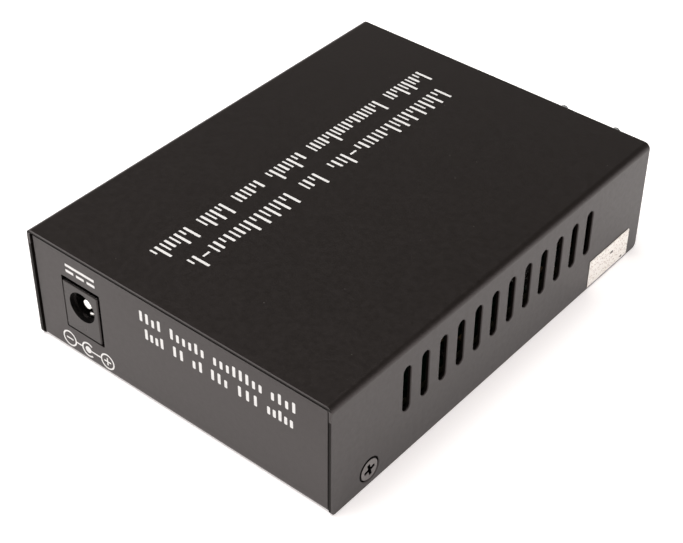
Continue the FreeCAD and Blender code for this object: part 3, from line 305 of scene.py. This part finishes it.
def lamp_lens():
    """Diffused green epoxy domes on tinned wires: below the collar's front plane the node is wire."""
    g = Graph("diffused_green")
    y = g.xyz()[1]
    z = g.xyz()[2]
    milk = g.noise(1200.0, 3.0, 0.6)
    wire = g.math("MAXIMUM", g.math("GREATER_THAN", y, -0.0395), g.math("LESS_THAN", z, 0.0062))
    green = g.mix(milk, (0.10, 0.34, 0.09), (0.19, 0.48, 0.15))
    g.set(color=g.mix(wire, green, (0.62, 0.61, 0.58)), metal=wire, rough=g.rescale(milk, 0.3, 0.7, 0.2, 0.32), ior=1.53)
    g.bump(milk, 0.000003)
    return g.material


def can_top():
    """Drawn aluminium can with a dark sleeve on its side and a bare scored top."""
    g = Graph("capacitor_can_finish")
    up = g.rescale(g.normal_z()[2], 0.5, 0.8)
    lines = g.noise(2000.0, 3.0, 0.6, g.mapped(scale=(1, 1, 0.08)))
    low = g.math("LESS_THAN", g.xyz()[2], 0.0078)
    side = g.mix(lines, (0.55, 0.56, 0.57), (0.72, 0.73, 0.74))
    color = g.mix(up, side, (0.74, 0.75, 0.76))
    color = g.mix(low, color, (0.015, 0.015, 0.017))
    g.set(color=color, metal=g.math("SUBTRACT", 1.0, low), rough=g.rescale(lines, 0.3, 0.7, 0.25, 0.42))
    g.bump(lines, 0.000004)
    return g.material


def chip_epoxy(name, seed, dot=None):
    """Black epoxy with a mould-pin dimple's sheen and glass filler showing as fine specks."""
    g = Graph(name)
    at = g.mapped(offset=(seed, seed, seed))
    filler = g.noise(4200.0, 2.0, 0.7, at)
    spot = g.rescale(filler, 0.66, 0.74)
    color = g.mix(spot, (0.017, 0.017, 0.018), (0.06, 0.06, 0.06))
    rough = g.rescale(g.noise(700.0, 3.0, 0.6, at), 0.3, 0.7, 0.42, 0.6)
    if dot:
        x, y = g.xyz()[0], g.xyz()[1]
        d = g.math("POWER", g.math("ADD", g.math("POWER", g.math("SUBTRACT", x, dot[0]), 2.0),
                                   g.math("POWER", g.math("SUBTRACT", y, dot[1]), 2.0)), 0.5)
        inside = g.rescale(d, dot[2] * 0.9, dot[2], 1.0, 0.0)
        rough = g.math("SUBTRACT", rough, g.math("MULTIPLY", inside, 0.22))
        g.bump(g.math("SUBTRACT", 1.0, inside), 0.00008)
    g.set(color=color, rough=rough)
    g.bump(filler, 0.000005)
    return g.material


def chip_parts():
    """Ceramic chip capacitors and resistors: tan or black bodies by place."""
    g = Graph("chip_ceramic_finish")
    kind = g.cells(140.0, randomness=1.0)
    pick = g.math("GREATER_THAN", g.xyz(kind.outputs["Color"])[0], 0.55)
    grit = g.noise(3500.0, 2.0, 0.6)
    body = g.mix(pick, (0.30, 0.21, 0.12), (0.03, 0.03, 0.035))
    body = g.mix(g.rescale(grit, 0.55, 0.75), body, (0.42, 0.36, 0.28))
    g.set(color=body, rough=g.rescale(grit, 0.3, 0.7, 0.35, 0.55))
    g.bump(grit, 0.000008)
    return g.material


def ink(name, color=(0.80, 0.79, 0.78)):
    """Screen-printed white ink: slightly uneven film with pinholes."""
    g = Graph(name)
    film = g.noise(1900.0, 3.0, 0.6)
    pin = g.rescale(g.noise(3200.0, 2.0, 0.7), 0.70, 0.78)
    g.set(color=g.mix(g.math("MULTIPLY", pin, 0.35), g.mix(film, tuple(c * 0.93 for c in color), color), (0.3, 0.29, 0.28)),
          rough=g.rescale(film, 0.3, 0.7, 0.42, 0.6))
    g.bump(film, 0.000006)
    return g.material


def paper():
    """Plain paper seal with a faint warm fleck and short fibres, and painted shade, mottled, along its lower edge."""
    g = Graph("seal_paper")
    fibre = g.noise(1500.0, 4.0, 0.7, g.mapped(scale=(1, 0.35, 1.2), rotation=(0.35, 0, 0)))
    fleck = g.cells(2000.0, randomness=1.0)
    tint = g.math("MULTIPLY", g.rescale(fleck.outputs["Distance"], 0.18, 0.42, 1.0, 0.0),
                  g.math("GREATER_THAN", g.xyz(fleck.outputs["Color"])[0], 0.30))
    base = g.mix(g.rescale(fibre, 0.3, 0.7), (0.93, 0.885, 0.83), (0.97, 0.94, 0.895))
    base = g.mix(g.math("MULTIPLY", tint, 0.72), base, (0.47, 0.36, 0.32))
    z = g.xyz()[2]
    # painted shade: the paper darkens, mottled, over its lowest millimetre, next to the floor
    low_edge_shade = g.math("MULTIPLY", g.rescale(z, 0.0002, 0.0011, 1.0, 0.0), g.rescale(g.noise(700.0, 3.0, 0.6), 0.4, 0.65))
    base = g.mix(g.math("MULTIPLY", low_edge_shade, 0.45), base, (0.42, 0.38, 0.35))
    # two small near-black spots, painted shade of dents in the paper: over the screw's head and by the lower front
    # corner
    y = g.xyz()[1]
    for cy, cz, ry, rz in ((-0.03745, 0.00442, 0.00056, 0.00027), (-0.04135, 0.00105, 0.00036, 0.00026)):
        wob = g.math("MULTIPLY", g.math("SUBTRACT", g.noise(2600.0, 2.0, 0.5), 0.5), 1.2)
        d = g.math("ADD", g.math("POWER", g.math("DIVIDE", g.math("SUBTRACT", y, cy), ry), 2.0),
                   g.math("POWER", g.math("DIVIDE", g.math("SUBTRACT", z, cz), rz), 2.0))
        base = g.mix(g.rescale(g.math("ADD", d, wob), 0.6, 1.3, 0.95, 0.0), base, (0.03, 0.026, 0.026))
    g.set(color=base, rough=0.82, ior=1.45)
    g.bump(fibre, 0.000012)
    return g.material


coat_cover = powder_coat("coat_cover", 1.0, (1.0, 0.45), (0.0239, 0.02442))
coat_base = powder_coat("coat_base", 5.0, (0.5, 0.35))
finish_node("cover", coat_cover)
finish_node("base", coat_base)
finish_node("circuit_board", circuit_mask())
finish_node("cover_screws", screw_oxide_and_rim_shade())
finish_node("board_screws", plated("screw_nickel", (0.72, 0.70, 0.66), 0.25, seed=1.3))
finish_node("board_posts", plated("post_zinc", (0.62, 0.63, 0.64), 0.33, brush=(1, 1, 0.1), seed=2.2))
finish_node("power_jack_housing", moulded("jack_plastic_finish", (0.006, 0.0056, 0.0056), 0.25, grain=0.000004, seed=0.3, tint=(1.0, 0.88, 0.85)))
finish_node("power_jack_pin", plated("pin_nickel", (0.93, 0.92, 0.89), 0.16, brush=(1, 0.1, 1), seed=0.7, stain=0.03, depth=0.000001))
finish_node("power_jack_spring", plated("leaf_nickel", (0.90, 0.88, 0.85), 0.22, brush=(1, 0.1, 1), seed=0.9, stain=0.04, depth=0.000001))
finish_node("rj45_shield", plated("shield_tin", (0.74, 0.73, 0.71), 0.24, brush=(1, 0.12, 1), seed=1.9))
finish_node("rj45_housing", moulded("socket_plastic_finish", (0.013, 0.013, 0.014), 0.5, seed=1.1))
gold = plated("contact_gold_finish", (0.95, 0.68, 0.28), 0.2, brush=(1, 0.15, 1), seed=2.9, stain=0.1)
finish_node("rj45_contacts", gold)
finish_node("sfp_connector_contacts", gold)
finish_node("sfp_cage", plated("cage_nickel_silver", (0.71, 0.70, 0.67), 0.22, brush=(1, 0.1, 1), seed=4.1))
finish_node("sfp_emi_collar", plated("collar_strip", (0.80, 0.79, 0.76), 0.17, brush=(1, 0.1, 1), seed=4.7))
finish_node("sfp_connector", moulded("connector_plastic_finish", (0.014, 0.014, 0.015), 0.55, seed=2.6))
finish_node("light_pipe", clear_moulding())
finish_node("lamp_holder", moulded("holder_plastic_finish", (0.013, 0.013, 0.013), 0.5, seed=3.3))
finish_node("status_lamps", lamp_lens())
finish_node("pipe_lamps", moulded("pipe_lamp_finish", (0.72, 0.71, 0.64), 0.4, seed=3.9))
finish_node("converter_chip", chip_epoxy("converter_chip_epoxy", 0.4, (-0.0078, 0.0118, 0.0006)))
finish_node("converter_chip_leads", plated("lead_tin_finish", (0.70, 0.69, 0.67), 0.3, seed=5.2))
finish_node("transformer_module", chip_epoxy("module_epoxy", 0.8, (-0.0205, -0.0128, 0.0006)))
finish_node("transformer_leads", plated("lead_tin_finish_b", (0.70, 0.69, 0.67), 0.3, seed=5.9))
finish_node("crystal", plated("crystal_can_finish", (0.76, 0.75, 0.72), 0.2, brush=(0.2, 1, 1), seed=6.3))
finish_node("electrolytic_capacitors", can_top())
finish_node("voltage_regulator", chip_epoxy("regulator_epoxy", 1.2))
finish_node("power_inductor", moulded("ferrite_finish", (0.040, 0.041, 0.046), 0.62, grain=0.00002, scale=1500.0, seed=4.4))
finish_node("protection_diode", chip_epoxy("diode_epoxy", 1.6))
finish_node("memory_chip", chip_epoxy("memory_epoxy", 2.0, (0.0128, 0.0053, 0.0004)))
finish_node("chip_components", chip_parts())


# ------------------------------------------------------------------ the seal: paper that has settled over the screw's dimple
def make_object(name, mesh, material, body="root"):
    o = bpy.data.objects.new(name, mesh)
    scene.collection.objects.link(o)
    mesh.materials.append(material)
    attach(o, body)
    return o


def seal_piece():
    lo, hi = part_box("seal_label")
    s_lo, s_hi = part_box("cover_screws")
    hole_y = (s_lo.y + (s_lo.y + 2 * 2.22 * MM)) / 2
    hole_z = (s_lo.z + s_hi.z) / 2
    ny, nz = 112, 54
    thick = 0.09 * MM
    skin = lo.x + 0.1 * MM                  # the wall's face
    r_back, r_front = 0.2 * MM, 0.32 * MM
    bm = bmesh.new()

    def shape(y, z):
        """How far the paper's face stands off the wall's face, outward."""
        # above the screw the well is widest, and the paper dips into it
        d = math.hypot(y - hole_y - 0.08 * MM, z - hole_z - 0.16 * MM)
        t = max(0.0, 1.0 - abs(d - 2.40 * MM) / (0.26 * MM))
        sunk = 0.055 * MM * t * t * (3 - 2 * t) * max(0.0, min(1.0, 0.35 + (z - hole_z) / (2.4 * MM)))
        d = math.hypot(y - hole_y, z - hole_z)
        t = max(0.0, min(1.0, (0.34 * MM - d) / (0.3 * MM)))
        cross = 0.03 * MM * t * t * (3 - 2 * t)
        wave = 0.007 * MM * math.sin(y * 2100 + 1.3 * math.sin(z * 900)) * math.sin(z * 1500 + 0.7)
        edge = min(y - lo.y, hi.y - y, hi.z - z)
        lift = 0.0
        if edge < 0.5 * MM:
            lift = 0.02 * MM * (1 - edge / (0.5 * MM)) ** 2
        return 0.012 * MM + wave + lift - sunk - cross

    def place(u, v):
        """u, v in 0..1 to a point of the seal's outline, its upper corners rounded."""
        y = lo.y + (hi.y - lo.y) * u
        z = lo.z + (hi.z - lo.z) * v
        for cy, sign, r in ((lo.y, 1, r_front), (hi.y, -1, r_back)):
            dy = (y - cy) * sign
            if dy < r:
                cut = r - math.sqrt(max(0.0, r * r - (r - dy) ** 2))
                z = lo.z + (hi.z - cut - lo.z) * v
        z += 0.03 * MM * math.sin(u * 9.0) * v
        return y, z

    def xs(y, z, outer):
        x = skin - shape(y, z)
        return x - thick if outer else x

    grid = {}
    for side in (0, 1):
        for i in range(ny + 1):
            u = i / ny
            # columns stay evenly spaced: the closer spacing at both ends for the rounded corners is switched off
            u = 0.5 - 0.5 * math.cos(math.pi * u) if False else u
            for j in range(nz + 1):
                y, z = place(u, j / nz)
                grid[side, i, j] = bm.verts.new((xs(y, z, side), y, z))
    for i in range(ny):
        for j in range(nz):
            a, b, c, d = (grid[0, i, j], grid[0, i + 1, j], grid[0, i + 1, j + 1], grid[0, i, j + 1])
            bm.faces.new((a, b, c, d))
            a, b, c, d = (grid[1, i, j], grid[1, i, j + 1], grid[1, i + 1, j + 1], grid[1, i + 1, j])
            bm.faces.new((a, b, c, d))
    ring = ([(i, 0) for i in range(ny)] + [(ny, j) for j in range(nz)] + [(i, nz) for i in range(ny, 0, -1)] + [(0, j) for j in range(nz, 0, -1)])
    for k, p in enumerate(ring):
        q = ring[(k + 1) % len(ring)]
        bm.faces.new((grid[0, p[0], p[1]], grid[1, p[0], p[1]], grid[1, q[0], q[1]], grid[0, q[0], q[1]]))
    bmesh.ops.recalc_face_normals(bm, faces=bm.faces[:])
    mesh = bpy.data.meshes.new("seal")
    bm.to_mesh(mesh)
    bm.free()
    for p in mesh.polygons:
        p.use_smooth = abs(p.normal.x) > 0.5
    o = make_object("seal", mesh, paper())
    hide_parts("seal_label")
    return o


seal_piece()


# ------------------------------------------------------------------ printed marks: thin films of ink, each a closed solid
def ring_points(cx, cy, r, n=40, start=0.0, sweep=2 * math.pi):
    closed = abs(sweep - 2 * math.pi) < 1e-9
    steps = n if closed else n + 1
    return [(cx + r * math.cos(start + sweep * i / n), cy + r * math.sin(start + sweep * i / n)) for i in range(steps)]


class Print:
    """Marks on a flat face. origin, right and up give the face; marks are laid in mm, as films 12 microns thick with eased edges."""

    def __init__(self, name, origin, right, up):
        self.name, self.o = name, Vector(origin)
        self.r, self.u = Vector(right).normalized(), Vector(up).normalized()
        self.n = self.r.cross(self.u)
        self.bm = bmesh.new()

    def vert(self, p, h):
        return self.bm.verts.new(self.o + (self.r * p[0] + self.u * p[1]) * MM + self.n * h * MM)

    def solid(self, outline):
        """A closed film over a simple outline given anticlockwise, its rim eased inward."""
        n = len(outline)
        inner = []
        for i, p in enumerate(outline):
            a, b = outline[i - 1], outline[(i + 1) % n]
            t = Vector((b[0] - a[0], b[1] - a[1]))
            t = t.normalized() if t.length > 1e-9 else Vector((1, 0))
            inner.append((p[0] - t.y * 0.025, p[1] + t.x * 0.025))
        low = [self.vert(p, -0.004) for p in outline]
        mid = [self.vert(p, 0.008) for p in outline]
        top = [self.vert(p, 0.014) for p in inner]
        self.bm.faces.new(list(reversed(low)))
        self.bm.faces.new(top)
        for s, t in ((low, mid), (mid, top)):
            for i in range(n):
                self.bm.faces.new((s[i], s[(i + 1) % n], t[(i + 1) % n], t[i]))

    def band(self, outer, inner):
        """A closed film between two loops of the same count."""
        n = len(outer)
        rows = []
        for h, k in ((-0.004, 0), (0.008, 0), (0.014, 0.025)):
            o, i = [], []
            for p, q in zip(outer, inner):
                d = Vector((q[0] - p[0], q[1] - p[1])).normalized() * k
                o.append(self.vert((p[0] + d.x, p[1] + d.y), h))
                i.append(self.vert((q[0] - d.x, q[1] - d.y), h))
            rows.append((o, i))
        for j in range(n):
            k = (j + 1) % n
            (o0, i0), (o1, i1), (o2, i2) = rows
            self.bm.faces.new((o0[j], o0[k], o1[k], o1[j]))
            self.bm.faces.new((o1[j], o1[k], o2[k], o2[j]))
            self.bm.faces.new((i0[k], i0[j], i1[j], i1[k]))
            self.bm.faces.new((i1[k], i1[j], i2[j], i2[k]))
            self.bm.faces.new((o2[j], o2[k], i2[k], i2[j]))
            self.bm.faces.new((o0[k], o0[j], i0[j], i0[k]))

    def bar(self, x0, y0, x1, y1, r=0.12, lean=0.0):
        """A bar with rounded corners; lean shifts its top along x."""
        r = min(r, abs(x1 - x0) / 2.001, abs(y1 - y0) / 2.001)
        pts = []
        for cx, cy, a in ((x1 - r, y0 + r, -math.pi / 2), (x1 - r, y1 - r, 0.0), (x0 + r, y1 - r, math.pi / 2), (x0 + r, y0 + r, math.pi)):
            for k in range(5):
                t = a + math.pi / 2 * k / 4
                x, y = cx + r * math.cos(t), cy + r * math.sin(t)
                pts.append((x + lean * (y - y0) / max(1e-6, y1 - y0), y))
        self.solid(pts)

    def ring(self, cx, cy, r_out, stroke, n=56):
        self.band(ring_points(cx, cy, r_out, n), ring_points(cx, cy, r_out - stroke, n))

    def arc(self, cx, cy, r_out, stroke, start, sweep, n=40):
        o = ring_points(cx, cy, r_out, n, start, sweep)
        i = ring_points(cx, cy, r_out - stroke, n, start, sweep)
        self.solid(o + list(reversed(i)))

    def disc(self, cx, cy, r, n=40):
        self.solid(ring_points(cx, cy, r, n))

    def done(self, material):
        bmesh.ops.recalc_face_normals(self.bm, faces=self.bm.faces[:])
        mesh = bpy.data.meshes.new(self.name)
        self.bm.to_mesh(mesh)
        self.bm.free()
        o = make_object(self.name, mesh, material)
        return o


white_ink = ink("white_ink")
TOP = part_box("cover")[1].z
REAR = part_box("base")[1].y
# marks are laid in the case's own measure: u from the inlet side, v from the rear, w up, all in mm
CASE_X, CASE_Y = 35.5, 47.1


def rhythm(p, start, end, base, low, high, pattern, width, strokes=1):
    """A word's worth of plain upright bars, from start to end on the base line. pattern holds a height for each, and - for a short dash."""
    pitch = (end - start) / len(pattern)
    for i, k in enumerate(pattern):
        x = start + pitch * (i + 0.5)
        if k == "-":
            p.bar(x - pitch * 0.32, base + low * 0.45, x + pitch * 0.32, base + low * 0.45 + 0.42)
        else:
            h = high if k == "t" else low
            if strokes == 1:
                p.bar(x - width / 2, base, x + width / 2, base + h, r=width / 2 * 0.6)
                continue
            # a broad bar and a fine one beside it; every third fine bar is short
            gap = pitch * 0.24
            p.bar(x - gap - width / 2, base, x - gap + width / 2, base + h, r=width / 2 * 0.6)
            p.bar(x + gap - width * 0.36, base, x + gap + width * 0.36, base + (low if i % 3 else low * 0.62), r=width * 0.2)


# top of the case: two rows of bars that read from the front to the rear
top = Print("top_print", (0, 0, TOP), (0, 1, 0), (-1, 0, 0))
# along: -Y end is the row's start; u of the rows runs toward -X
for row, words in (
    ((28.1, 2.75, 4.1), ((83.3, 48.7, "tttttttsss-ts"), (45.8, 40.7, "ts"), (37.8, 11.3, "tttttsss-t"))),
    ((21.3, 2.75, 4.1), ((85.8, 74.0, "tsttss"[:5]), (71.8, 50.7, "tssssstss"[:9]), (48.7, 39.1, "stst"), (37.1, 29.8, "sss"), (27.8, 20.7, "ttt"), (18.7, 9.1, "ttst"))),
):
    base, low, high = row
    for a, b, pattern in words:
        rhythm(top, CASE_Y - a, CASE_Y - b, base - CASE_X, low, high, pattern, 0.56, 2)
top.done(white_ink)

# rear panel: polarity mark, direct-current mark over the inlet, and two short rows of bars
rear = Print("rear_print", (0, REAR, 0), (-1, 0, 0), (0, 0, 1))


def rx(u):
    return u - CASE_X


MARK = 2.9
for u in (7.9, 17.8):
    rear.ring(rx(u), MARK, 1.78, 0.34)
    rear.bar(rx(u) - 0.9, MARK - 0.17, rx(u) + 0.9, MARK + 0.17)
rear.bar(rx(17.8) - 0.17, MARK + 0.2, rx(17.8) + 0.17, MARK + 0.9)
rear.bar(rx(17.8) - 0.17, MARK - 0.9, rx(17.8) + 0.17, MARK - 0.2)
rear.arc(rx(12.8), MARK, 1.7, 0.36, math.radians(48), math.radians(264))
rear.disc(rx(12.8), MARK, 0.76)
rear.bar(rx(9.66), MARK - 0.17, rx(11.12), MARK + 0.17, r=0.02)
rear.bar(rx(13.53), MARK - 0.17, rx(16.04), MARK + 0.17, r=0.02)
rear.bar(rx(9.2), 20.75, rx(16.6), 21.35, r=0.1)
for k in range(3):
    rear.bar(rx(9.2) + 2.7 * k, 19.45, rx(9.2) + 2.7 * k + 2.0, 20.05, r=0.1)
for base, words in ((18.5, ((27.3, 33.0, "ttst"), (34.6, 43.2, "tssstss"[:6]), (44.6, 56.2, "ssstttss"), (57.4, 63.5, "stst"))),
                    (14.8, ((28.4, 33.4, "tsst"), (35.0, 38.2, "tt"), (39.6, 42.6, "st"), (43.9, 48.4, "tts"), (49.9, 55.2, "ttt"), (56.6, 62.8, "sstss")))):
    for a, b, pattern in words:
        rhythm(rear, rx(a), rx(b), base, 1.7, 2.3, pattern, 0.66)
rear.done(white_ink)


# ------------------------------------------------------------------ stage: pale floor, soft light, camera
def floor():
    bm = bmesh.new()
    bmesh.ops.create_grid(bm, x_segments=1, y_segments=1, size=3.0)
    mesh = bpy.data.meshes.new("floor")
    bm.to_mesh(mesh)
    bm.free()
    g = Graph("floor_paper")
    soft = g.noise(3.0, 2.0, 0.5)
    g.set(color=g.mix(soft, (0.86, 0.86, 0.86), (0.88, 0.88, 0.88)), rough=0.9, spec=0.1, emit=(1.0, 0.94, 0.935), emit_strength=0.48)
    o = bpy.data.objects.new("floor", mesh)
    mesh.materials.append(g.material)
    o.location = (0, 0, -0.00005)
    scene.collection.objects.link(o)


floor()


def area(name, at, target, size, power, color=(1, 1, 1)):
    light = bpy.data.lights.new(name, "AREA")
    light.shape = "RECTANGLE"
    light.size, light.size_y = size
    light.energy = power
    light.color = color
    o = bpy.data.objects.new(name, light)
    o.location = at
    o.rotation_euler = (Vector(target) - Vector(at)).to_track_quat("-Z", "Y").to_euler()
    scene.collection.objects.link(o)
    return o


area("overhead", (0.30, 0.25, 1.30), (0, 0, 0), (1.2, 1.2), 22.0, (1.0, 0.985, 0.965))
area("fill", (-0.80, 0.05, 0.70), (0, 0, 0), (1.0, 1.0), 2.2, (1.0, 0.97, 0.95))

world = bpy.data.worlds.new("studio")
world.use_nodes = True
wt = world.node_tree
wt.nodes.clear()
w_out = wt.nodes.new("ShaderNodeOutputWorld")
w_bg = wt.nodes.new("ShaderNodeBackground")
w_tc = wt.nodes.new("ShaderNodeTexCoord")
w_sep = wt.nodes.new("ShaderNodeSeparateXYZ")
w_ramp = wt.nodes.new("ShaderNodeValToRGB")
wt.links.new(w_tc.outputs["Generated"], w_sep.inputs[0])
wt.links.new(w_sep.outputs[2], w_ramp.inputs[0])
w_ramp.color_ramp.elements[0].position = 0.0
w_ramp.color_ramp.elements[0].color = (1.0, 0.96, 0.955, 1)
w_ramp.color_ramp.elements[1].position = 0.74
w_ramp.color_ramp.elements[1].color = (0.030, 0.027, 0.025, 1)
w_mid = w_ramp.color_ramp.elements.new(0.12)
w_mid.color = (0.62, 0.595, 0.59, 1)
w_high = w_ramp.color_ramp.elements.new(0.42)
w_high.color = (0.125, 0.116, 0.108, 1)
wt.links.new(w_ramp.outputs[0], w_bg.inputs["Color"])
w_bg.inputs["Strength"].default_value = 1.5
wt.links.new(w_bg.outputs[0], w_out.inputs["Surface"])
scene.world = world
scene.view_settings.view_transform = "Standard"
scene.view_settings.look = "None"

camera = bpy.data.cameras.new("camera")
camera.sensor_width = 36.0
camera.lens = 83.71
camera.clip_start = 0.01
camera.clip_end = 10.0
eye = bpy.data.objects.new("camera", camera)
right = Vector((-0.7674430822, -0.6410884304, 0.0060613597))
down = Vector((-0.4114723585, 0.4852767909, -0.7714900741))
ahead = Vector((0.4916519234, -0.5945688023, -0.6362124846))
turn = Matrix((right, -down, -ahead)).transposed()
eye.matrix_world = Matrix.Translation(Vector((-0.14904, 0.18238, 0.19823))) @ turn.to_4x4()
scene.collection.objects.link(eye)
scene.camera = eye
